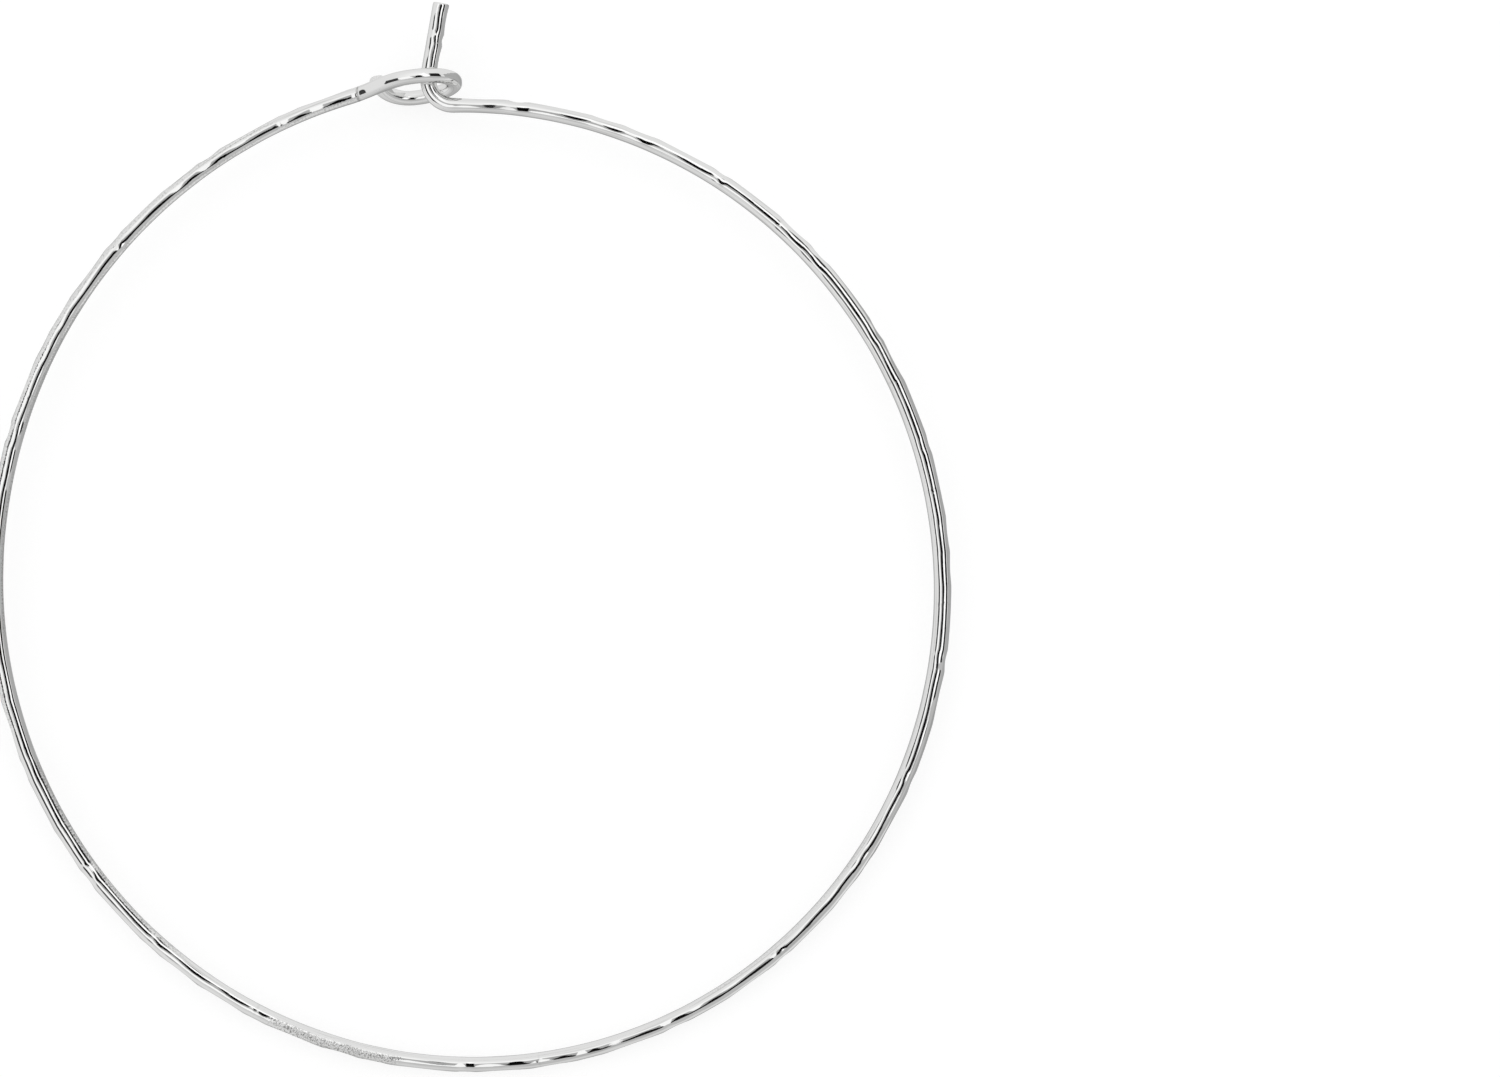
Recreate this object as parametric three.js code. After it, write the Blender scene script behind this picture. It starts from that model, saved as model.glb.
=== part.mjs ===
import * as THREE from 'three';
import { LoftGeometry } from 'three/addons/geometries/LoftGeometry.js';

// A hoop earring bent from one length of hammered silver wire, lying on its side.
// Lengths are in millimetres and angles in degrees. The wire is drawn with X to the right,
// Y up to the hoop's crown and Z out of its front face, then laid down with that face up.
// It runs from the ear post's tip, round the hook bend, clockwise round the hoop, through
// the lead and round the eye to the eye's own tip.

// Hoop
const hoopDiameter = 50; // over the outside of the wire
const wireThickness = 0.83; // along a radius of the hoop, on average
const thicknessSwing = 0.07; // hammered that much thinner by the crown and the foot
const thickHeading = 80; // where it is thickest, and again straight across
const wireWidth = 1.2; // along the hoop's axis
const ovalRise = 0.2; // how far the hoop is out of round
const ovalHeading = 160; // clockwise from the crown to the hoop's longer diameter
const springArc = 67; // stretch of hoop that springs out to meet the eye
const springPower = 1.6; // how late in that stretch it springs out

// Hook bend and ear post
const hookStart = 0.72; // from the crown to the start of the hook bend
const hookRadius = 1.3; // to the middle of the wire
const postLength = 3.7; // straight stretch above the bend
const postLean = 10;
const postThickness = 0.84;
const postWidth = 1.04;

// Eye that the post drops into
const eyeHoleLength = 3.2;
const eyeSideGap = 0.5; // room at each side of the post, before the set back
const eyeSetBack = 0.16; // of the eye's middle behind the post's
const eyeEndGap = 0.02; // from the post to the closed end that it rests by
const eyeLift = 0.46; // clear height from the hoop's crown to the eye's closed end
const eyeTilt = 20; // steepest slope of the eye's plane
const eyeTiltTurn = 20; // of that slope, from straight forward towards the closed end
const eyeWireThickness = 0.7;
const eyeWireWidth = 0.86;
const eyeEntry = 105; // round the eye from its closed end to where the lead runs in
const eyeLead = 1.3; // from the end of the hoop to the open end of the eye
const eyeStep = 0.51; // rise from the end of the hoop to the middle of the eye
const tipGap = 0.15; // from the tip to the lead that it comes round to
const tipWidth = 0.8;
const tipLift = 0.72; // how far the tip is raised out of the eye's plane
const tipLiftArc = 75;

// Hammer marks across the outer face, and the cut ends
const dentDepth = 0.07;
const hoopDentPitch = 2.2;
const postDentPitch = 1.4;
const endChamfer = 0.08;

// Fineness of the skin
const sectionSides = 12;
const stepsPerDent = 4;
const bendStep = 0.3;

// The wire's rounded section is a superellipse, and hammering cuts flats off its outer face.
const sectionPower = 2.6;
const dentWander = 0.28; // of a mark's edge along the wire, as a share of the pitch
const dentScatter = 0.25; // of a mark's depth, as a share of the depth
const wanderBeat = 2.4; // radians from one mark to the next, so that no two near marks match
const scatterBeat = 1.7;
const hoopDivisions = 2000; // chords that the hoop's length is measured by

const rad = THREE.MathUtils.degToRad;
const hoopAxis = new THREE.Vector3(0, 0, 1);

/** A curve whose points come from a function of a number from 0 to 1. */
class WireCurve extends THREE.Curve {
  constructor(place) {
    super();
    this.place = place;
  }

  getPoint(t, target = new THREE.Vector3()) {
    return target.copy(this.place(t));
  }
}

// The hoop without its sprung stretch: headings run clockwise from the crown.
const hoopRadius = (hoopDiameter - wireThickness) / 2;

function roundReach(heading) {
  return hoopRadius + ovalRise * Math.cos(2 * rad(heading - ovalHeading));
}

function polar(heading, reach) {
  return new THREE.Vector3(Math.sin(rad(heading)) * reach, Math.cos(rad(heading)) * reach, 0);
}

// Hook bend: an arc that leaves the hoop along its own line and turns up into the post.
const hookHeading = -THREE.MathUtils.radToDeg(Math.asin(hookStart / hoopRadius));
const hookFoot = polar(hookHeading, roundReach(hookHeading));
const justPast = 0.05;
const hookWay = polar(hookHeading + justPast, roundReach(hookHeading + justPast)).sub(hookFoot);
const hookCentre = new THREE.Vector3()
  .crossVectors(hoopAxis, hookWay)
  .setLength(hookRadius)
  .add(hookFoot);
const hookWayAngle = Math.atan2(hookWay.y, hookWay.x);
const postWayAngle = -rad(90 + postLean);

function hookAt(wayAngle) {
  const toWire = new THREE.Vector3(Math.sin(wayAngle), -Math.cos(wayAngle), 0);
  return toWire.multiplyScalar(hookRadius).add(hookCentre);
}

const postFoot = hookAt(postWayAngle);
const postUp = new THREE.Vector3(Math.sin(rad(postLean)), Math.cos(rad(postLean)), 0);
const postTip = postUp.clone().multiplyScalar(postLength).add(postFoot);

/** Thickness of the hoop's wire, which nears its average between crown and side. */
function hoopThickness(heading) {
  return wireThickness + thicknessSwing * Math.cos(2 * rad(heading - thickHeading));
}

/** Where the middle of the bend or post stands at a height above the hoop's centre. */
function postMiddleAt(height) {
  if (height > postFoot.y) {
    return postFoot.x + (height - postFoot.y) * Math.tan(rad(postLean));
  }
  return hookCentre.x - Math.sqrt(hookRadius ** 2 - (height - hookCentre.y) ** 2);
}

// Eye: an oval round the post, tilted with its front side up.
const slopeAcross = Math.tan(rad(eyeTilt)) * Math.sin(rad(eyeTiltTurn));
const slopeForward = Math.tan(rad(eyeTilt)) * Math.cos(rad(eyeTiltTurn));
const eyeHoleHalfLength = eyeHoleLength / 2;
const eyeHoleHalfDepth = postWidth / 2 + eyeSideGap;
const eyeHalfLength = eyeHoleHalfLength + eyeWireWidth / 2;
const eyeHalfDepth = eyeHoleHalfDepth + eyeWireWidth / 2;
const crownTop = hookFoot.y + hoopThickness(hookHeading) / 2;
const closedEndHeight = crownTop + eyeLift + eyeWireThickness / 2;
const eyeHeight = closedEndHeight - slopeAcross * eyeHalfLength;
const postCorner = (postWidth / 2 + eyeSetBack) / eyeHoleHalfDepth;
const holeReachAtPost = eyeHoleHalfLength * Math.sqrt(1 - postCorner ** 2);
const eyeMiddle = new THREE.Vector3(
  postMiddleAt(eyeHeight) + postThickness / 2 + eyeEndGap - holeReachAtPost,
  eyeHeight,
  -eyeSetBack,
);
const eyeNormal = new THREE.Vector3(-slopeAcross, 1, -slopeForward).normalize();

// The lead comes in halfway to the eye's front side, and the tip stops behind it.
const leadForward = (eyeHalfDepth - eyeSetBack) / 2;
const tipForward = leadForward - (wireWidth + tipWidth) / 2 - tipGap;
const tipTurn = THREE.MathUtils.radToDeg(Math.asin((tipForward + eyeSetBack) / eyeHalfDepth));
const eyeExit = -180 - tipTurn;

function eyeAt(turn) {
  const across = eyeHalfLength * Math.cos(rad(turn));
  const forward = eyeHalfDepth * Math.sin(rad(turn));
  const lifted = Math.max(0, 1 - (turn - eyeExit) / tipLiftArc);
  const rise = slopeAcross * across + slopeForward * forward + tipLift * lifted ** 2;
  return new THREE.Vector3(across, rise, forward).add(eyeMiddle);
}

// Hoop with its sprung stretch, which ends a lead's length short of the eye.
const hoopEndAcross = eyeMiddle.x - eyeHalfLength - eyeLead;
const hoopEndHeight = eyeMiddle.y - eyeStep;
const hoopEndHeading = 360 + THREE.MathUtils.radToDeg(Math.atan2(hoopEndAcross, hoopEndHeight));
const springRise = Math.hypot(hoopEndAcross, hoopEndHeight) - roundReach(hoopEndHeading);

function hoopAt(heading) {
  const sprung = Math.max(0, 1 - (hoopEndHeading - heading) / springArc);
  return polar(heading, roundReach(heading) + springRise * sprung ** springPower);
}

/** The curve from the end of the hoop to the eye, running on from each. */
function leadCurve(hoop) {
  const start = hoopAt(hoopEndHeading);
  const end = eyeAt(eyeEntry);
  const handle = start.distanceTo(end) / 3;
  const startWay = hoop.getTangent(1).multiplyScalar(handle);
  const endWay = eyeAt(eyeEntry - justPast).sub(end).setLength(handle);
  return new THREE.CubicBezierCurve3(start, start.clone().add(startWay), end.clone().sub(endWay), end);
}

// Ways that the hammered face turns along the wire.
function faceOutward(along) {
  return new THREE.Vector3().crossVectors(hoopAxis, along);
}

function faceOutOfEye() {
  return eyeNormal.clone();
}

function faceTurning(along, share) {
  return faceOutward(along).lerp(eyeNormal, THREE.MathUtils.smoothstep(share, 0, 1));
}

/** Places along a stretch from 0 to 1, each with the depth of the hammer mark there. */
function hammeredStations(length, pitch) {
  const count = Math.max(1, Math.round(length / pitch));
  const edges = [];
  for (let mark = 0; mark <= count; mark += 1) {
    const wander = mark % count === 0 ? 0 : dentWander * Math.sin(wanderBeat * mark);
    edges.push((mark + wander) / count);
  }
  const stations = [{ share: 0, dent: 0 }];
  for (let mark = 0; mark < count; mark += 1) {
    const depth = dentDepth * (1 - dentScatter + dentScatter * Math.sin(scatterBeat * mark));
    for (let step = 1; step <= stepsPerDent; step += 1) {
      const across = step / stepsPerDent;
      const share = THREE.MathUtils.lerp(edges[mark], edges[mark + 1], across);
      stations.push({ share, dent: 4 * depth * across * (1 - across) });
    }
  }
  return stations;
}

function smoothStations(length) {
  const count = Math.max(2, Math.round(length / bendStep));
  return Array.from({ length: count + 1 }, (_, step) => ({ share: step / count, dent: 0 }));
}

/** The ring of points round the wire at one station. */
function wireSection(middle, along, face, thickness, width, dent) {
  const outward = face.addScaledVector(along, -face.dot(along)).normalize();
  const sideways = new THREE.Vector3().crossVectors(outward, along);
  const points = [];
  for (let side = 0; side < sectionSides; side += 1) {
    const angle = (2 * Math.PI * side) / sectionSides;
    const bulge = (value) => Math.sign(value) * Math.abs(value) ** (2 / sectionPower);
    const high = Math.min((thickness / 2) * bulge(Math.sin(angle)), thickness / 2 - dent);
    const wide = (width / 2) * bulge(Math.cos(angle));
    points.push(middle.clone().addScaledVector(outward, high).addScaledVector(sideways, wide));
  }
  return points;
}

/** Size of the wire on a stretch that goes evenly from one size to another. */
function between(from, to) {
  return (share) => ({
    thickness: THREE.MathUtils.lerp(from.thickness, to.thickness, share),
    width: THREE.MathUtils.lerp(from.width, to.width, share),
  });
}

function hoopSize(share) {
  const heading = THREE.MathUtils.lerp(hookHeading, hoopEndHeading, share);
  return { thickness: hoopThickness(heading), width: wireWidth };
}

/** All the sections of the wire, from the post's tip to the eye's. */
function wireSections() {
  const hoop = new WireCurve((t) => hoopAt(THREE.MathUtils.lerp(hookHeading, hoopEndHeading, t)));
  const bend = new WireCurve((t) => hookAt(THREE.MathUtils.lerp(postWayAngle, hookWayAngle, t)));
  const eye = new WireCurve((t) => eyeAt(THREE.MathUtils.lerp(eyeEntry, eyeExit, t)));
  const post = new THREE.LineCurve3(postTip, postFoot);
  const lead = leadCurve(hoop);
  hoop.arcLengthDivisions = hoopDivisions;

  const postSize = { thickness: postThickness, width: postWidth };
  const eyeSize = { thickness: eyeWireThickness, width: eyeWireWidth };
  const tipSize = { thickness: eyeWireThickness, width: tipWidth };
  const stretches = [
    { curve: post, size: between(postSize, postSize), face: faceOutward, pitch: postDentPitch },
    { curve: bend, size: between(postSize, hoopSize(0)), face: faceOutward },
    { curve: hoop, size: hoopSize, face: faceOutward, pitch: hoopDentPitch },
    { curve: lead, size: between(hoopSize(1), eyeSize), face: faceTurning },
    { curve: eye, size: between(eyeSize, tipSize), face: faceOutOfEye },
  ];

  const sections = [];
  for (const { curve, size, face, pitch } of stretches) {
    const length = curve.getLength();
    const stations = pitch ? hammeredStations(length, pitch) : smoothStations(length);
    for (const { share, dent } of sections.length ? stations.slice(1) : stations) {
      const along = curve.getTangentAt(share);
      const { thickness, width } = size(share);
      const outward = face(along, share);
      sections.push(wireSection(curve.getPointAt(share), along, outward, thickness, width, dent));
    }
  }
  return [chamferedEnd(sections[0], post.getTangent(0).negate()), ...sections,
    chamferedEnd(sections.at(-1), eye.getTangent(1))];
}

/** A section a chamfer further out along the wire and smaller by the same. */
function chamferedEnd(section, outOfWire) {
  const middle = new THREE.Vector3();
  section.forEach((point) => middle.addScaledVector(point, 1 / section.length));
  return section.map((point) => {
    const fromMiddle = point.clone().sub(middle);
    fromMiddle.setLength(fromMiddle.length() - endChamfer);
    return fromMiddle.add(middle).addScaledVector(outOfWire, endChamfer);
  });
}

/** Turns that lay the hoop down on the back of its eye and the far side of the hoop. */
function lyingTurn() {
  const eyeLow = eyeAt(-90);
  const eyeReach = Math.hypot(eyeLow.x, eyeLow.y);
  const eyeDrop = -eyeLow.z + eyeWireWidth / 2;
  const slope = Math.asin((eyeDrop - wireWidth / 2) / (eyeReach + hoopRadius));
  const hinge = new THREE.Vector3(eyeLow.y, -eyeLow.x, 0).normalize();
  return new THREE.Quaternion().setFromAxisAngle(hinge, slope);
}

const silver = new THREE.MeshStandardMaterial({ color: 0xe9e7e2, metalness: 1, roughness: 0.14 });
const wire = new THREE.Mesh(
  new LoftGeometry(wireSections(), { capStart: true, capEnd: true }),
  silver,
);
wire.name = 'hoop_wire';

const group = new THREE.Group();
group.add(wire);
wire.quaternion.copy(lyingTurn());

// The origin is in the middle of the part's outline, on the surface that it lies on.
const reach = new THREE.Box3().setFromObject(group, true);
const outlineMiddle = reach.getCenter(new THREE.Vector3());
wire.position.set(-outlineMiddle.x, -outlineMiddle.y, -reach.min.z);

export default group;
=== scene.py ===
import bisect
import math
import bmesh
import bpy
from mathutils import Matrix, Vector, noise


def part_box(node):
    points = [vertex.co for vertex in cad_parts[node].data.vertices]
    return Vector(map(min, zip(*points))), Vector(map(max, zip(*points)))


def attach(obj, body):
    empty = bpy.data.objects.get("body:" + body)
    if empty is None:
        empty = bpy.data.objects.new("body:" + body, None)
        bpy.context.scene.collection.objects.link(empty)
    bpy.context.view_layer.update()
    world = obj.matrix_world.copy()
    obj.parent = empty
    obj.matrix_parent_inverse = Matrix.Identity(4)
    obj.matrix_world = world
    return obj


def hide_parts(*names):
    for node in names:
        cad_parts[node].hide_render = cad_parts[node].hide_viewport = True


# A hoop earring of hammered silver wire, lying on its side on a lit white table.
# The wire is worked in millimetres and brought to metres when it is done.
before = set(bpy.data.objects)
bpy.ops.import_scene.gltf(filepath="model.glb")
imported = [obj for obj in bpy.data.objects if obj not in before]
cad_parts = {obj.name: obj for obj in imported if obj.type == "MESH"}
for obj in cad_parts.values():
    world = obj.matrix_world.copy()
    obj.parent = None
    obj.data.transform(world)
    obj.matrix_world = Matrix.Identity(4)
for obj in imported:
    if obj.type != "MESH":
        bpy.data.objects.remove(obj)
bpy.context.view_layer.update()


def clearSelection():
    if bpy.context.object and bpy.context.object.mode == "EDIT":
        bpy.ops.object.mode_set(mode="OBJECT")
    bpy.ops.object.select_all(action="DESELECT")


def makeActive(piece):
    clearSelection()
    piece.select_set(True)
    bpy.context.view_layer.objects.active = piece


def mix(first, second, share):
    return first + (second - first) * share


def smooth(share):
    share = min(1, max(0, share))
    return share * share * (3 - 2 * share)


# The route of the wire: post, hook bend, hoop, lead and eye

route = {
    "hoopDiameter": 50, "ovalRise": 0.2, "ovalHeading": 160,
    "springArc": 67, "springPower": 1.6,
    "hookStart": 0.72, "hookRadius": 1.3, "postLength": 3.7, "postLean": 10,
    "eyeHoleLength": 3.2, "eyeSideGap": 0.5, "eyeSetBack": 0.16, "eyeEndGap": 0.02,
    "eyeLift": 0.46, "eyeTilt": 20, "eyeTiltTurn": 20, "eyeEntry": 105,
    "tipGap": 0.15, "tipLift": 0.72, "tipLiftArc": 75, "eyeLead": 1.3, "eyeStep": 0.51,
    "postSize": (0.84, 1.04), "eyeSize": (0.7, 0.86), "tipSize": (0.7, 0.8),
    "hoopThickness": 0.83, "thicknessSwing": 0.07, "thickHeading": 80, "hoopWidth": 1.2,
    "justPast": 0.05,  # degrees, for the way that the wire runs at a place
    "pointGap": 0.06, "fewestSteps": 8, "roughSteps": 60,
}

hoopRadius = (route["hoopDiameter"] - route["hoopThickness"]) / 2
hoopAxis = Vector((0, 0, 1))


def roundReach(heading):
    return hoopRadius + route["ovalRise"] * math.cos(2 * math.radians(heading - route["ovalHeading"]))


def hoopSize(heading):
    swing = math.cos(2 * math.radians(heading - route["thickHeading"]))
    return route["hoopThickness"] + route["thicknessSwing"] * swing, route["hoopWidth"]


def polar(heading, reach):
    heading = math.radians(heading)
    return Vector((math.sin(heading) * reach, math.cos(heading) * reach, 0))


hookHeading = -math.degrees(math.asin(route["hookStart"] / hoopRadius))
hookFoot = polar(hookHeading, roundReach(hookHeading))
pastHook = hookHeading + route["justPast"]
hookWay = polar(pastHook, roundReach(pastHook)) - hookFoot
hookCentre = hookFoot + hoopAxis.cross(hookWay).normalized() * route["hookRadius"]
hookWayAngle = math.atan2(hookWay.y, hookWay.x)
postWayAngle = -math.radians(90 + route["postLean"])


def hookAt(wayAngle):
    return hookCentre + Vector((math.sin(wayAngle), -math.cos(wayAngle), 0)) * route["hookRadius"]


postLean = math.radians(route["postLean"])
postFoot = hookAt(postWayAngle)
postTip = postFoot + Vector((math.sin(postLean), math.cos(postLean), 0)) * route["postLength"]


def postMiddleAt(height):
    if height > postFoot.y:
        return postFoot.x + (height - postFoot.y) * math.tan(postLean)
    return hookCentre.x - math.sqrt(route["hookRadius"] ** 2 - (height - hookCentre.y) ** 2)


slope = math.tan(math.radians(route["eyeTilt"]))
slopeAcross = slope * math.sin(math.radians(route["eyeTiltTurn"]))
slopeForward = slope * math.cos(math.radians(route["eyeTiltTurn"]))
holeHalfDepth = route["postSize"][1] / 2 + route["eyeSideGap"]
eyeHalfLength = route["eyeHoleLength"] / 2 + route["eyeSize"][1] / 2
eyeHalfDepth = holeHalfDepth + route["eyeSize"][1] / 2
closedEndHeight = hookFoot.y + hoopSize(hookHeading)[0] / 2 + route["eyeLift"] + route["eyeSize"][0] / 2
eyeHeight = closedEndHeight - slopeAcross * eyeHalfLength
postCorner = (route["postSize"][1] / 2 + route["eyeSetBack"]) / holeHalfDepth
holeReachAtPost = route["eyeHoleLength"] / 2 * math.sqrt(1 - postCorner ** 2)
eyeAcross = postMiddleAt(eyeHeight) + route["postSize"][0] / 2 + route["eyeEndGap"] - holeReachAtPost
eyeMiddle = Vector((eyeAcross, eyeHeight, -route["eyeSetBack"]))
eyeNormal = Vector((-slopeAcross, 1, -slopeForward)).normalized()
leadForward = (eyeHalfDepth - route["eyeSetBack"]) / 2
tipForward = leadForward - (route["hoopWidth"] + route["tipSize"][1]) / 2 - route["tipGap"]
eyeExit = -180 - math.degrees(math.asin((tipForward + route["eyeSetBack"]) / eyeHalfDepth))


def eyeAt(turn):
    across = eyeHalfLength * math.cos(math.radians(turn))
    forward = eyeHalfDepth * math.sin(math.radians(turn))
    lifted = max(0, 1 - (turn - eyeExit) / route["tipLiftArc"])
    rise = slopeAcross * across + slopeForward * forward + route["tipLift"] * lifted ** 2
    return eyeMiddle + Vector((across, rise, forward))


hoopEnd = Vector((eyeMiddle.x - eyeHalfLength - route["eyeLead"], eyeMiddle.y - route["eyeStep"], 0))
hoopEndHeading = 360 + math.degrees(math.atan2(hoopEnd.x, hoopEnd.y))
springRise = hoopEnd.length - roundReach(hoopEndHeading)


def hoopAt(heading):
    sprung = max(0, 1 - (hoopEndHeading - heading) / route["springArc"])
    return polar(heading, roundReach(heading) + springRise * sprung ** route["springPower"])


def leadCorners():
    start = hoopAt(hoopEndHeading)
    end = eyeAt(route["eyeEntry"])
    handle = (end - start).length / 3
    startWay = (start - hoopAt(hoopEndHeading - route["justPast"])).normalized() * handle
    endWay = (eyeAt(route["eyeEntry"] - route["justPast"]) - end).normalized() * handle
    return start, start + startWay, end - endWay, end


def bezier(corners, share):
    a, b, c, d = corners
    back = 1 - share
    return a * back ** 3 + b * 3 * back ** 2 * share + c * 3 * back * share ** 2 + d * share ** 3


def layRoute():
    # points of each stretch at even steps, with the way that the hammered face looks there
    lead = leadCorners()
    places = [
        ("post", lambda t: postTip.lerp(postFoot, t)),
        ("bend", lambda t: hookAt(mix(postWayAngle, hookWayAngle, t))),
        ("hoop", lambda t: hoopAt(mix(hookHeading, hoopEndHeading, t))),
        ("lead", lambda t: bezier(lead, t)),
        ("eye", lambda t: eyeAt(mix(route["eyeEntry"], eyeExit, t))),
    ]
    points, stretches, reached = [], {}, 0.0
    roughSteps = route["roughSteps"]
    for name, place in places:
        rough = [place(step / roughSteps) for step in range(roughSteps + 1)]
        length = sum((b - a).length for a, b in zip(rough, rough[1:]))
        count = max(route["fewestSteps"], round(length / route["pointGap"]))
        own = [place(step / count) for step in range(count + 1)]
        length = sum((b - a).length for a, b in zip(own, own[1:]))
        stretches[name] = (reached, reached + length)
        reached += length
        for step, point in enumerate(own):
            if step or not points:
                points.append((point, name, step / count))
    return points, stretches, reached


routePoints, stretches, wireLength = layRoute()
print("route laid, %.2f mm" % wireLength, {name: round(ends[0], 2) for name, ends in stretches.items()})


def routeCurve():
    # the curve that bends the straight wire, its tilt turning the hammered face from hoop to eye
    count = len(routePoints)
    ways = []
    for index in range(count):
        here = routePoints[index][0]
        before = here - routePoints[index - 1][0] if index else None
        after = routePoints[index + 1][0] - here if index < count - 1 else None
        way = Vector((0, 0, 0))
        for side in (before, after):
            if side is not None:
                way += side.normalized()
        ways.append(way.normalized())
    data = bpy.data.curves.new("wireRoute", "CURVE")
    data.dimensions = "3D"
    data.twist_mode = "MINIMUM"
    spline = data.splines.new("POLY")
    spline.points.add(count - 1)
    carried = hoopAxis.cross(ways[0]).normalized()
    for index, (point, name, share) in enumerate(routePoints):
        way = ways[index]
        if index:
            carried = ways[index - 1].rotation_difference(way) @ carried
        face = hoopAxis.cross(way)
        if name == "lead":
            face = face.lerp(eyeNormal, smooth(share) ** 2)
        if name == "eye":
            face = eyeNormal.copy()
        spline.points[index].co = (*point, 1)
        spline.points[index].tilt = math.atan2(face.dot(way.cross(carried)), face.dot(carried))
    curve = bpy.data.objects.new("wireRoute", data)
    bpy.context.scene.collection.objects.link(curve)
    return curve


# The wire itself

wire = {
    "sides": 48, "cuts": 40, "sharpAngle": 40,
    "sectionPower": 2.6, "endChamfer": 0.08, "endRings": (0.35, 0.75, 1), "nearEnd": 0.01,
    "dentDepth": 0.07, "hoopDentPitch": 2.2, "postDentPitch": 1.4,
    # the beats, in radians from one mark to the next, keep near marks from matching
    "dentWander": 0.28, "wanderBeat": 2.4, "dentScatter": 0.25, "scatterBeat": 1.7,
    "dentSkew": 0.3, "skewBeat": 3.1, "skewStart": 1, "dentRoll": 0.05, "rollBeat": 2.3, "rollStart": 0.5,
    # a mark pinches the wire's middle in and spreads its sides, against a mean spread
    "pinch": 0.5, "swell": 0.04, "meanSpread": 0.5,
    "wobble": 0.012, "wobbleGap": 1.6, "wobbleRound": 0.8, "wobbleStart": (7.3, 0, 0),
    "hammeredWobble": 0.5,
    # degrees that the section leans by, swinging over at the hoop's crown and foot, and a slow twist
    "lean": 1.25, "leanSwing": -3.75, "leanHaste": 3, "leanFade": 4,
    "twist": 1.6, "twistGap": 2.6, "twistStart": 3.1,
    # the cut that marks where the hoop ends and the lead begins
    "creaseDepth": 0.05, "creaseLength": 0.1, "creaseShift": 0.6, "creaseSlant": 0.12,
    # brushed patches: headings between which they lie, how far round the wire, in turns, and strength
    "satinFade": 1.2, "satinFadeRound": 0.06,
    "satin": [
        (187, 205, -0.06, 0.3, 1), (216, 248, -0.34, -0.05, 1), (262, 284, -0.34, -0.09, 1),
        (250, 338, 0.03, 0.34, 0.45), (286, 336, -0.34, -0.04, 0.45), (120, 150, -0.34, -0.1, 0.4),
        (336, 350, -0.34, -0.02, 0.4),
    ],
    # heading of a nick across the hoop, where it sits round the wire in radians, its depth and half length
    # how far painted shade darkens a nick's cut, and how narrow a nick is round the wire
    "nickPaintedShade": 0.2, "nickNarrow": 3,
    "nicks": [
        (78, 0, 0.03, 0.13), (91.6, 0.2, 0.012, 0.08), (64, -0.3, 0.01, 0.08), (40.5, 0.1, 0.012, 0.09),
        (113, 0.3, 0.008, 0.06), (139, -0.2, 0.012, 0.1), (171, 0, 0.01, 0.08), (197, 0.4, 0.012, 0.1),
        (206, -0.4, 0.014, 0.09), (233, 0.1, 0.02, 0.16), (249, -0.2, 0.01, 0.07), (292, 0.3, 0.008, 0.08),
        (337, -0.3, 0.013, 0.1),
    ],
}


def dentEdges(name, pitch):
    start, end = stretches[name]
    count = max(1, round((end - start) / pitch))
    edges = []
    for mark in range(count + 1):
        wander = wire["dentWander"] * math.sin(wire["wanderBeat"] * mark) if mark % count else 0
        edges.append(mix(start, end, (mark + wander) / count))
    return edges


def dentRow(name, pitch):
    edges = dentEdges(name, pitch)
    last = len(edges) - 1
    skews = []
    for mark in range(last + 1):
        skew = wire["dentSkew"] * math.sin(wire["skewBeat"] * mark + wire["skewStart"])
        skews.append(skew if mark % last else 0)
    return edges, skews


dentRows = [dentRow("post", wire["postDentPitch"]), dentRow("hoop", wire["hoopDentPitch"])]


def dentAt(along, across):
    # how far the hammer pressed the outer face in, and how far it spread the wire, 0 to 1
    for edges, skews in dentRows:
        if not edges[0] <= along <= edges[-1]:
            continue
        low = bisect.bisect_right(edges, along) - 1
        for mark in (low, low - 1, low + 1):
            if not 0 <= mark < len(edges) - 1:
                continue
            start = edges[mark] + skews[mark] * across
            end = edges[mark + 1] + skews[mark + 1] * across
            if start <= along <= end:
                share = (along - start) / (end - start)
                scatter = wire["dentScatter"]
                depth = 1 - scatter + scatter * math.sin(wire["scatterBeat"] * mark)
                bowl = 4 * share * (1 - share)
                roll = wire["dentRoll"] * math.sin(wire["rollBeat"] * mark + wire["rollStart"]) * across
                spread = math.sin(math.pi * share) ** 2
                return bowl * (wire["dentDepth"] * depth + roll), spread * depth
    return 0, 0


endSizes = {
    "post": (route["postSize"], route["postSize"]),
    "bend": (route["postSize"], hoopSize(hookHeading)),
    "lead": (hoopSize(hoopEndHeading), route["eyeSize"]),
    "eye": (route["eyeSize"], route["tipSize"]),
}


def sizeAt(along):
    for name, (start, end) in stretches.items():
        if along <= end or name == "eye":
            share = min(1, max(0, (along - start) / (end - start)))
            if name == "hoop":
                return hoopSize(mix(hookHeading, hoopEndHeading, share))
            return [mix(a, b, share) for a, b in zip(*endSizes[name])]


def leanAt(along):
    # the hammered wire is a little twisted, so its side leans inward on one half of the hoop
    start, end = stretches["hoop"]
    heading = math.radians(mix(hookHeading, hoopEndHeading, (along - start) / (end - start)))
    lean = wire["lean"] + wire["leanSwing"] * math.tanh(wire["leanHaste"] * math.sin(heading))
    lean += wire["twist"] * noise.noise(Vector((along / wire["twistGap"], wire["twistStart"], 0)))
    fade = smooth((along - start) / wire["leanFade"]) * smooth((end - along) / wire["leanFade"])
    return math.radians(lean) * fade


def alongHoop(heading):
    start, end = stretches["hoop"]
    return mix(start, end, (heading - hookHeading) / (hoopEndHeading - hookHeading))


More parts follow.
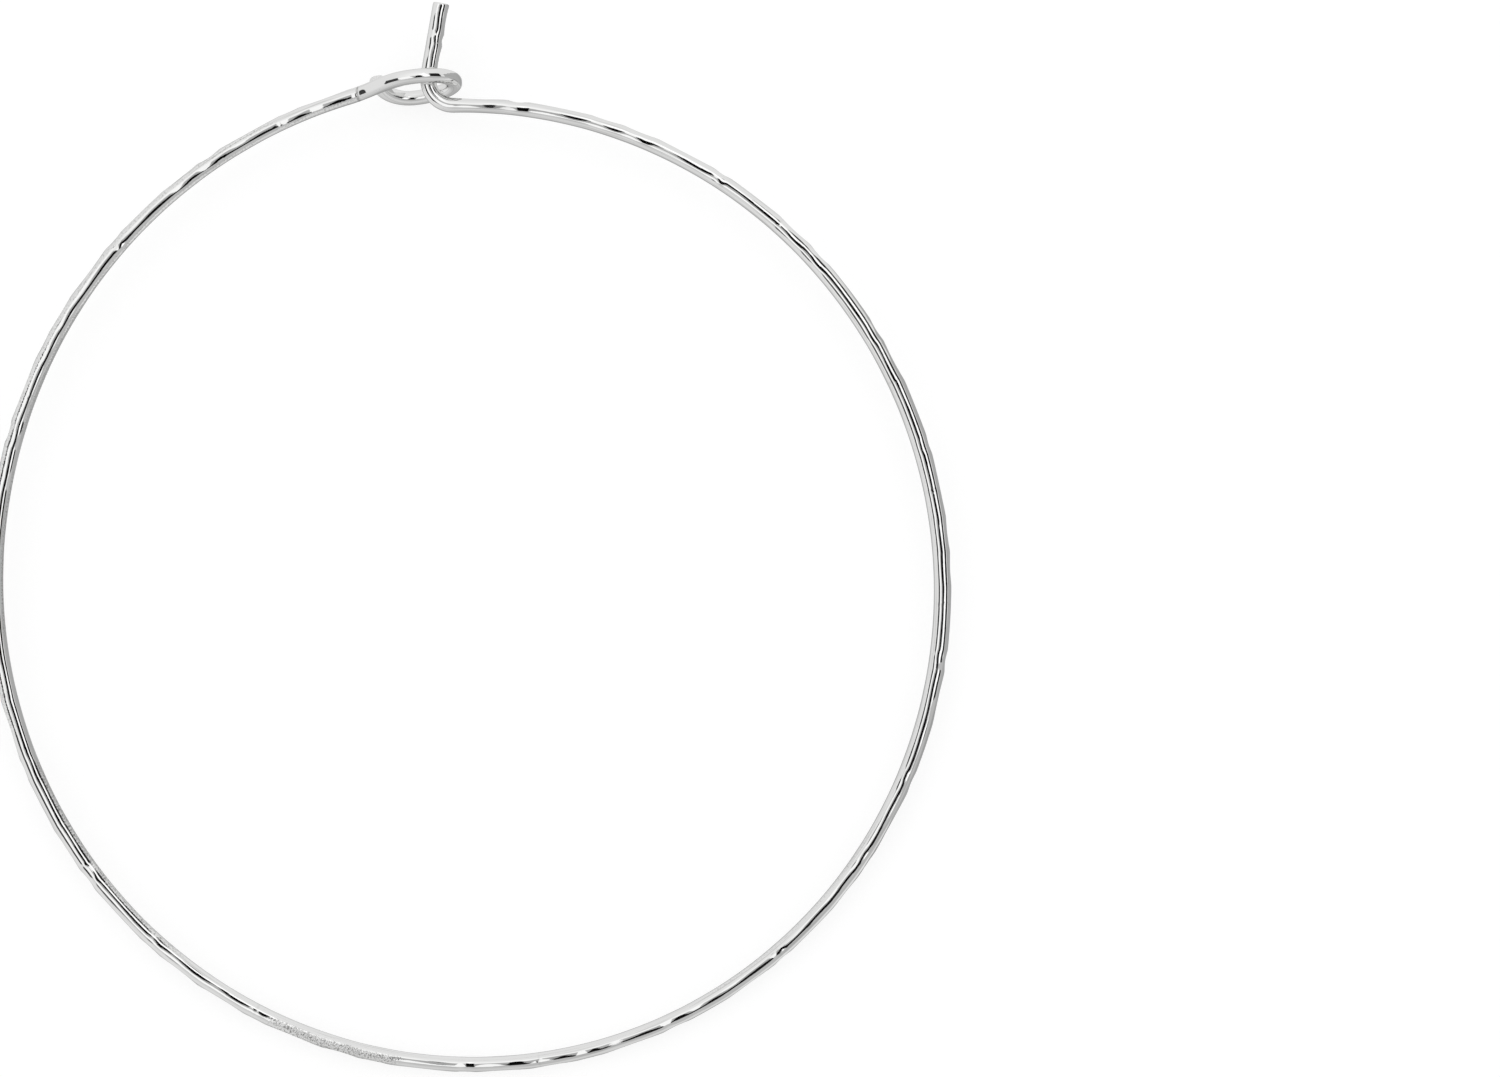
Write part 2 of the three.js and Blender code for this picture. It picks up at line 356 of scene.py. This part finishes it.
def satinAt(along, turn):
    patch = 0
    fade = wire["satinFade"]
    fadeRound = wire["satinFadeRound"]
    for first, last, low, high, strength in wire["satin"]:
        reach = min(smooth((along - alongHoop(first)) / fade), smooth((alongHoop(last) - along) / fade))
        around = min(smooth((turn - low) / fadeRound), smooth((high - turn) / fadeRound))
        patch = max(patch, strength * min(reach, around))
    return patch


def bulge(value):
    return math.copysign(abs(value) ** (2 / wire["sectionPower"]), value)


def drawStock():
    # straight stock: a ring pulled along X, then cut into many short rings
    clearSelection()
    bpy.ops.mesh.primitive_circle_add(
        vertices=wire["sides"], radius=0.5, rotation=(0, math.radians(90), 0), enter_editmode=True
    )
    bpy.ops.mesh.extrude_region_move(TRANSFORM_OT_translate={"value": (wireLength, 0, 0)})
    bpy.ops.mesh.select_mode(type="EDGE")
    stock = bpy.context.object
    for shortest in (wireLength / 2, wireLength / 2 / wire["cuts"]):
        grid = bmesh.from_edit_mesh(stock.data)
        for edge in grid.edges:
            first, second = edge.verts
            edge.select_set(abs(first.co.z - second.co.z) > shortest)
        bmesh.update_edit_mesh(stock.data)
        bpy.ops.mesh.subdivide(number_cuts=wire["cuts"])
    bpy.ops.mesh.select_all(action="DESELECT")
    bpy.ops.object.mode_set(mode="OBJECT")
    stock.name = stock.data.name = "silverWire"
    bpy.ops.object.transform_apply(location=True, rotation=True, scale=True)
    print("stock drawn", len(stock.data.vertices), "points")
    return stock


nicks = [(alongHoop(heading), turn, depth, half) for heading, turn, depth, half in wire["nicks"]]


def wobbleAt(along, turn):
    # a hand-worked wire is never quite even
    spot = Vector((along / wire["wobbleGap"], math.cos(turn) * wire["wobbleRound"],
                   math.sin(turn) * wire["wobbleRound"]))
    wobble = wire["wobble"] * noise.noise(spot + Vector(wire["wobbleStart"]))
    return wobble * wire["hammeredWobble"] if along < stretches["lead"][0] else wobble


def cutsAt(along, turn):
    # how deep the crease and the nicks cut into the front here, and how much painted shade darkens them
    creaseAt = stretches["lead"][0] + wire["creaseShift"] + wire["creaseSlant"] * math.sin(turn)
    crease = max(0, 1 - abs(along - creaseAt) / wire["creaseLength"])
    depth = wire["creaseDepth"] * crease * math.cos(turn) ** 2 if math.cos(turn) > 0 else 0
    # the crease is darkened all the way to the dark tone, as painted shade in the cut
    worn = crease
    for place, side, nickDepth, half in nicks:
        if abs(along - place) < half:
            cut = (1 - abs(along - place) / half) * max(0, math.cos(turn - side)) ** wire["nickNarrow"]
            depth += nickDepth * cut
            worn = max(worn, wire["nickPaintedShade"] * cut)
    return depth, worn


def skinAt(along, turn):
    # the wire's skin, outward along the hoop's radius and across along its axis
    thickness, width = sizeAt(along)
    across = width / 2 * bulge(math.cos(turn))
    outward = thickness / 2 * bulge(math.sin(turn))
    pressed, spread = dentAt(along, across)
    outward = min(outward, thickness / 2 - pressed)
    outward -= wire["pinch"] * pressed * max(0, 1 - (2 * outward / thickness) ** 2)
    across *= 1 + wire["swell"] * 2 / width * (spread - wire["meanSpread"])
    wobble = wobbleAt(along, turn)
    depth, worn = cutsAt(along, turn)
    return outward + wobble * math.sin(turn), across + wobble * math.cos(turn) - depth, worn


def hammerStock(stock):
    # gives every ring its section, presses the marks in and lets the sides spread
    mesh = stock.data
    # painted shade for the crease and nicks, kept on every point
    paintedCutShadeSpots = mesh.attributes.new("worn", "FLOAT", "POINT")
    brushed = mesh.attributes.new("satin", "FLOAT", "POINT")
    for vertex in mesh.vertices:
        along = vertex.co.x
        turn = math.atan2(vertex.co.y, vertex.co.z)
        outward, across, worn = skinAt(along, turn)
        lean = leanAt(along)
        vertex.co = (
            along,
            outward * math.cos(lean) - across * math.sin(lean),
            outward * math.sin(lean) + across * math.cos(lean),
        )
        paintedCutShadeSpots.data[vertex.index].value = worn
        brushed.data[vertex.index].value = satinAt(along, turn / (2 * math.pi))
    print("stock hammered")


def roundEnd(stock, way):
    # narrow rings round the edge of the cut over, then a face closes it
    lastAngle = 0
    for share in wire["endRings"]:
        angle = math.asin(share)
        shrink = wire["endChamfer"] * (math.cos(lastAngle) - math.cos(angle))
        rise = wire["endChamfer"] * (math.sin(angle) - math.sin(lastAngle))
        bpy.ops.mesh.extrude_edges_move(TRANSFORM_OT_translate={"value": (0, 0, 0)})
        grid = bmesh.from_edit_mesh(stock.data)
        for point in grid.verts:
            if point.select:
                point.co -= Vector((0, point.co.y, point.co.z)).normalized() * shrink
                point.co.x += way * rise
        lastAngle = angle
        bmesh.update_edit_mesh(stock.data)
    bpy.ops.mesh.edge_face_add()


def capStock(stock):
    makeActive(stock)
    bpy.ops.object.mode_set(mode="EDIT")
    bpy.ops.mesh.select_mode(type="EDGE")
    for end, way in ((0, -1), (wireLength, 1)):
        bpy.ops.mesh.select_all(action="DESELECT")
        grid = bmesh.from_edit_mesh(stock.data)
        for edge in grid.edges:
            edge.select_set(all(abs(point.co.x - end) < wire["nearEnd"] for point in edge.verts))
        bmesh.update_edit_mesh(stock.data)
        roundEnd(stock, way)
    bpy.ops.mesh.select_all(action="SELECT")
    bpy.ops.mesh.normals_make_consistent(inside=False)
    bpy.ops.mesh.select_all(action="DESELECT")
    bpy.ops.object.mode_set(mode="OBJECT")


def mapStock(stock):
    # U runs along the wire in millimetres, V once round it
    layer = stock.data.uv_layers.new(name="alongWire")
    for face in stock.data.polygons:
        turns = []
        for loop in face.loop_indices:
            point = stock.data.vertices[stock.data.loops[loop].vertex_index].co
            turn = math.atan2(point.y, point.z) / (2 * math.pi)
            if turns:
                turn += round(turns[0] - turn)
            turns.append(turn)
            layer.data[loop].uv = (point.x, turn)


def lieDown(piece):
    # tips the wire until it rests on the eye's back and the hoop's far side, where the CAD's own wire lies
    eyeLow = eyeAt(-90)
    drop = -eyeLow.z + route["eyeSize"][1] / 2 - route["hoopWidth"] / 2
    lean = math.asin(drop / (math.hypot(eyeLow.x, eyeLow.y) + hoopRadius))
    turn = Matrix.Rotation(lean, 4, Vector((eyeLow.y, -eyeLow.x, 0)))
    piece.data.transform(Matrix.Scale(0.001, 4) @ turn)
    points = [vertex.co for vertex in piece.data.vertices]
    least, most = ([pick(point[axis] for point in points) for axis in range(3)] for pick in (min, max))
    low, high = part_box("hoop_wire")
    shift = [(low[axis] + high[axis] - least[axis] - most[axis]) / 2 for axis in (0, 1)]
    shift.append(low[2] - least[2])
    piece.data.transform(Matrix.Translation(shift))
    print("hoop's middle at", [round(value * 1000, 4) for value in shift])


def makeWire():
    stock = drawStock()
    hammerStock(stock)
    capStock(stock)
    mapStock(stock)
    curve = routeCurve()
    makeActive(stock)
    bend = stock.modifiers.new("bend", "CURVE")
    bend.object = curve
    bend.deform_axis = "POS_X"
    bpy.ops.object.modifier_apply(modifier="bend")
    bpy.data.objects.remove(curve)
    lieDown(stock)
    makeActive(stock)
    bpy.ops.object.shade_smooth_by_angle(angle=math.radians(wire["sharpAngle"]))
    clearSelection()
    print("wire bent,", len(stock.data.polygons), "faces")
    return stock


# Materials

class Signal:
    # a socket that sums can be written with
    def __init__(self, graph, socket):
        self.graph = graph
        self.socket = socket

    def sum(self, operation, first, second):
        return self.graph.add("ShaderNodeMath", {"operation": operation}, {0: first, 1: second})

    def __add__(self, other):
        return self.sum("ADD", self, other)

    def __radd__(self, other):
        return self.sum("ADD", other, self)

    def __sub__(self, other):
        return self.sum("SUBTRACT", self, other)

    def __rsub__(self, other):
        return self.sum("SUBTRACT", other, self)

    def __mul__(self, other):
        return self.sum("MULTIPLY", self, other)

    def __rmul__(self, other):
        return self.sum("MULTIPLY", other, self)


class Graph:
    def __init__(self, owner, shader):
        owner.use_nodes = True
        self.nodes = owner.node_tree.nodes
        self.links = owner.node_tree.links
        self.shader = self.nodes[shader]

    def feed(self, node, values):
        for key, value in values.items():
            if isinstance(value, Signal):
                self.links.new(value.socket, node.inputs[key])
            else:
                node.inputs[key].default_value = value

    def add(self, kind, settings, values, output=0):
        node = self.nodes.new(kind)
        for key, value in settings.items():
            if key == "stops":
                ramp = node.color_ramp
                while len(ramp.elements) < len(value):
                    ramp.elements.new(0.5)
                for element, (place, shade) in zip(ramp.elements, value):
                    element.position = place
                    element.color = (shade, shade, shade, 1)
            else:
                setattr(node, key, value)
        self.feed(node, values)
        return Signal(self, node.outputs[output])

    def clamp(self, value):
        return self.add("ShaderNodeClamp", {}, {"Value": value})

    def blend(self, share, first, second):
        colours = {"Factor": share, "A": first, "B": second}
        return self.add("ShaderNodeMix", {"data_type": "RGBA"}, colours, "Result")


def newMaterial(name):
    material = bpy.data.materials.new(name)
    return material, Graph(material, "Principled BSDF")


silver = {
    # the dark tone serves the wire's own specks and drawn lines, and the painted shade in the crease and
    # nicks
    "colour": (0.85, 0.85, 0.845, 1), "edge": (0.75, 0.75, 0.75, 1), "tarnishAndShade": (0.34, 0.34, 0.33, 1),
    "roughness": 0.01, "scratchRoughness": 0.03, "bump": 0.00001,
    # streaks of the draw plate: how often they come along the wire and round it, detail, and how strong
    "fine": ((0.35, 60, 1), 3.0), "fineStrength": 0.12,
    "broad": ((0.12, 17, 1), 1.0), "broadStrength": 0.35,
    # the grain of the brushed patches, and its dark specks
    "grain": ((10, 32, 1), 2.0), "satinRough": 0.22, "satinStrength": 3.2,
    "speckLow": 0.5, "speckGain": 6.0,
    # dark lines drawn along the wire
    "drawn": ((0.16, 30, 1), 2.0), "drawnLow": 0.56, "drawnGain": 9.0, "drawnShade": 0.3,
}


def wireNoise(graph, place, texture):
    scale, detail = texture
    stretched = graph.add("ShaderNodeMapping", {}, {"Vector": place, "Scale": scale})
    return graph.add("ShaderNodeTexNoise", {}, {"Vector": stretched, "Scale": 1.0, "Detail": detail})


def silverMaterial():
    material, graph = newMaterial("silver")
    place = graph.add("ShaderNodeUVMap", {"uv_map": "alongWire"}, {})
    scratches = wireNoise(graph, place, silver["fine"])
    ridges = wireNoise(graph, place, silver["broad"])
    grain = wireNoise(graph, place, silver["grain"])
    drawn = wireNoise(graph, place, silver["drawn"])
    worn = graph.add("ShaderNodeAttribute", {"attribute_name": "worn"}, {}, "Fac")
    satin = graph.add("ShaderNodeAttribute", {"attribute_name": "satin"}, {}, "Fac")
    specks = graph.clamp((grain - silver["speckLow"]) * silver["speckGain"])
    lines = graph.clamp((drawn - silver["drawnLow"]) * silver["drawnGain"])
    # the crease and nicks are darkened as painted shade; the specks and drawn lines are the wire's own
    # dark marks
    stainAndShade = graph.clamp(worn + specks * satin + lines * silver["drawnShade"])
    tone = graph.blend(stainAndShade, silver["colour"], silver["tarnishAndShade"])
    graph.feed(graph.shader, {"Metallic": 1.0, "Base Color": tone, "Specular Tint": silver["edge"]})
    dull = silver["satinRough"] * satin + silver["scratchRoughness"] * scratches
    graph.feed(graph.shader, {"Roughness": dull + silver["roughness"]})
    height = scratches * silver["fineStrength"] + ridges * silver["broadStrength"]
    height = height + satin * grain * silver["satinStrength"]
    bump = {"Height": height, "Strength": 1.0, "Distance": silver["bump"]}
    graph.feed(graph.shader, {"Normal": graph.add("ShaderNodeBump", {}, bump)})
    return material


table = {"size": 4, "shade": (0.4, 0.4, 0.4, 1), "roughness": 0.9, "glow": 0.7}


def tableMaterial():
    # paper, lit from within so that it stays white
    material, graph = newMaterial("tableTop")
    graph.feed(graph.shader, {"Base Color": table["shade"], "Roughness": table["roughness"]})
    graph.feed(graph.shader, {"Emission Color": (1, 1, 1, 1), "Emission Strength": table["glow"]})
    return material


# Studio

studio = {
    "cardReach": 1.0,
    # shade of the tent from its south side to its north, and at its east and west
    "tent": [
        (0.0, 0.7), (0.2, 0.52), (0.4, 0.42), (0.57, 0.44),
        (0.6, 1.1), (0.7, 1.08), (0.85, 0.93), (1.0, 0.86),
    ],
    "tentSide": 0.86, "tentSideReach": 1.5,
    # heading clockwise from +Y, height above the table, width and height in degrees, shade
    "cards": [
        ("overheadSlot", (90, 82.3, 28, 13), 0.002),
        ("eastStrip", (70, 69, 56, 15), 1.3),
        ("eastCard", (86, 48, 60, 26), 0.02),
        ("eastLowCard", (90, -20, 66, 90), 0.46),
        ("southSlot", (158, 71, 14, 13), 0.01),
        ("southEastCard", (130, 42, 56, 70), 0.56),
        ("westStrip", (250, 74, 44, 20), 1.1),
        ("westRail", (257, 50, 42, 24), 0.05),
    ],
}


def makeCard(name, place, shade):
    heading, rise, wide, tall = (math.radians(angle) for angle in place)
    reach = studio["cardReach"]
    flat = math.cos(rise)
    way = Vector((math.sin(heading) * flat, math.cos(heading) * flat, math.sin(rise)))
    clearSelection()
    bpy.ops.mesh.primitive_plane_add(size=1)
    card = bpy.context.object
    card.name = name
    size = Matrix.Diagonal((2 * reach * math.tan(wide / 2), 2 * reach * math.tan(tall / 2), 1, 1))
    turned = way.to_track_quat("Z", "Y").to_matrix().to_4x4()
    card.data.transform(Matrix.Translation(way * reach) @ turned @ size)
    material, graph = newMaterial(name)
    graph.feed(graph.shader, {"Base Color": (0, 0, 0, 1), "Specular IOR Level": 0.0})
    graph.feed(graph.shader, {"Emission Color": (1, 1, 1, 1), "Emission Strength": shade})
    card.data.materials.append(material)
    card.visible_camera = False
    card.visible_diffuse = False
    card.visible_shadow = False


def makeTable():
    clearSelection()
    bpy.ops.mesh.primitive_plane_add(size=table["size"])
    floor = bpy.context.object
    floor.name = "table"
    floor.data.materials.append(tableMaterial())
    floor.visible_glossy = False  # or its white would hide the wire's edges


def makeTent():
    world = bpy.data.worlds.new("tent")
    bpy.context.scene.world = world
    graph = Graph(world, "Background")
    way = graph.add("ShaderNodeTexCoord", {}, {})
    parts = graph.add("ShaderNodeSeparateXYZ", {}, {"Vector": way})
    east, north = (Signal(graph, parts.socket.node.outputs[axis]) for axis in ("X", "Y"))
    shade = graph.add("ShaderNodeValToRGB", {"stops": studio["tent"]}, {"Fac": north * 0.5 + 0.5})
    aside = graph.add("ShaderNodeMath", {"operation": "ABSOLUTE"}, {0: east})
    side = studio["tentSide"]
    tone = graph.blend(graph.clamp(aside * studio["tentSideReach"]), shade, (side, side, side, 1))
    graph.feed(graph.shader, {"Color": tone})


def makeStudio():
    makeTable()
    makeTent()
    for name, place, shade in studio["cards"]:
        makeCard(name, place, shade)
    bpy.context.scene.view_settings.view_transform = "Standard"
    print("studio set up")


# straight above the table, a little to the right of the hoop, in metres
camera = {"place": (0.0145, -0.000025, 0.3613), "lens": 167.6, "sensor": 36, "clip": (0.01, 10)}


def makeCamera():
    clearSelection()
    bpy.ops.object.camera_add(location=camera["place"], rotation=(0, 0, 0))
    eye = bpy.context.object
    eye.data.lens = camera["lens"]
    eye.data.sensor_width = camera["sensor"]
    eye.data.clip_start, eye.data.clip_end = camera["clip"]
    bpy.context.scene.camera = eye


makeCamera()
makeStudio()
silverWire = makeWire()
silverWire.data.materials.append(silverMaterial())
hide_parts("hoop_wire")
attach(silverWire, "root")

bpy.context.view_layer.update()
